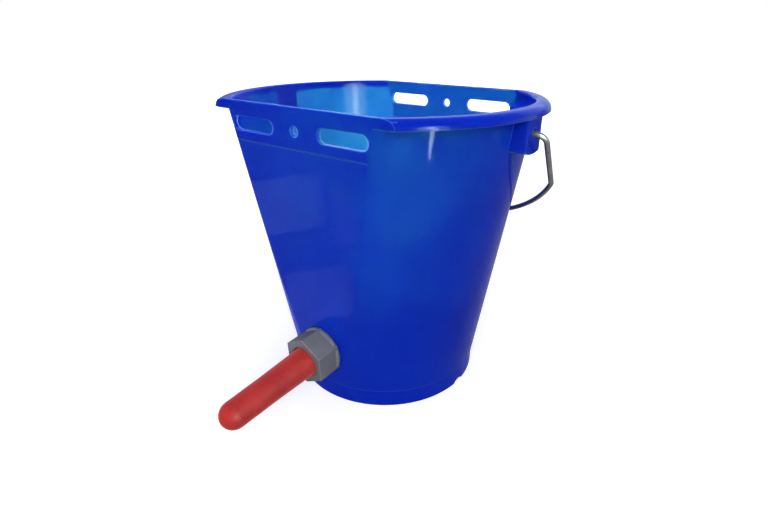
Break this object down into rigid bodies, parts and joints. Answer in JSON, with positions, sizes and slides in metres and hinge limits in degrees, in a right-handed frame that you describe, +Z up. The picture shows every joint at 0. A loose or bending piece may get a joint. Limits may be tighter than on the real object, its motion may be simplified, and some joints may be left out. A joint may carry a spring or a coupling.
{
  "type": "calf feeding bucket",
  "caption": "Tapered plastic feeding bucket with flat slotted sides, rolled rim, swinging wire bail and a rubber teat on a ball valve near the base.",
  "frame": {"origin": "centre of the circle of the foot ring, on the ground the bucket stands on", "axes": "+Z up along the bucket's axis; -Y out through the flat side with the valve and teat; +Y through the other flat side, on which the bail hangs; the bail's pivot line runs along X between the two ears"},
  "size_m": [0.298, 0.3091, 0.265],
  "materials": {
    "bucket_blue": "glossy moulded polypropylene, slightly translucent",
    "galvanised_wire": "dull zinc coating",
    "nut_grey": "satin grey moulding",
    "teat_red": "matt red rubber",
    "valve_white": "white moulding",
    "gasket_black": "flat black sheet rubber",
    "ball_ivory": "smooth moulded ball",
    "retainer_natural": "natural moulding"
  },
  "bodies": {
    "bucket": {"bucket_shell": "bucket_blue", "valve_body": "valve_white", "wall_gasket": "gasket_black", "ball_retainer": "retainer_natural", "union_nut": "nut_grey", "teat": "teat_red"},
    "bail": {"bail_handle": "galvanised_wire"},
    "ball": {"check_ball": "ball_ivory"}
  },
  "joints": [
    {"name": "bail_swing", "type": "hinge", "parent": "bucket", "child": "bail", "pos_m": [0, 0, 0.247], "axis": [1, 0, 0], "range_deg": [0, 272.4]},
    {"name": "ball_travel", "type": "slide", "parent": "bucket", "child": "ball", "axis": [0, -0.9981, -0.062], "range_m": [-0.004, 0]}
  ]
}
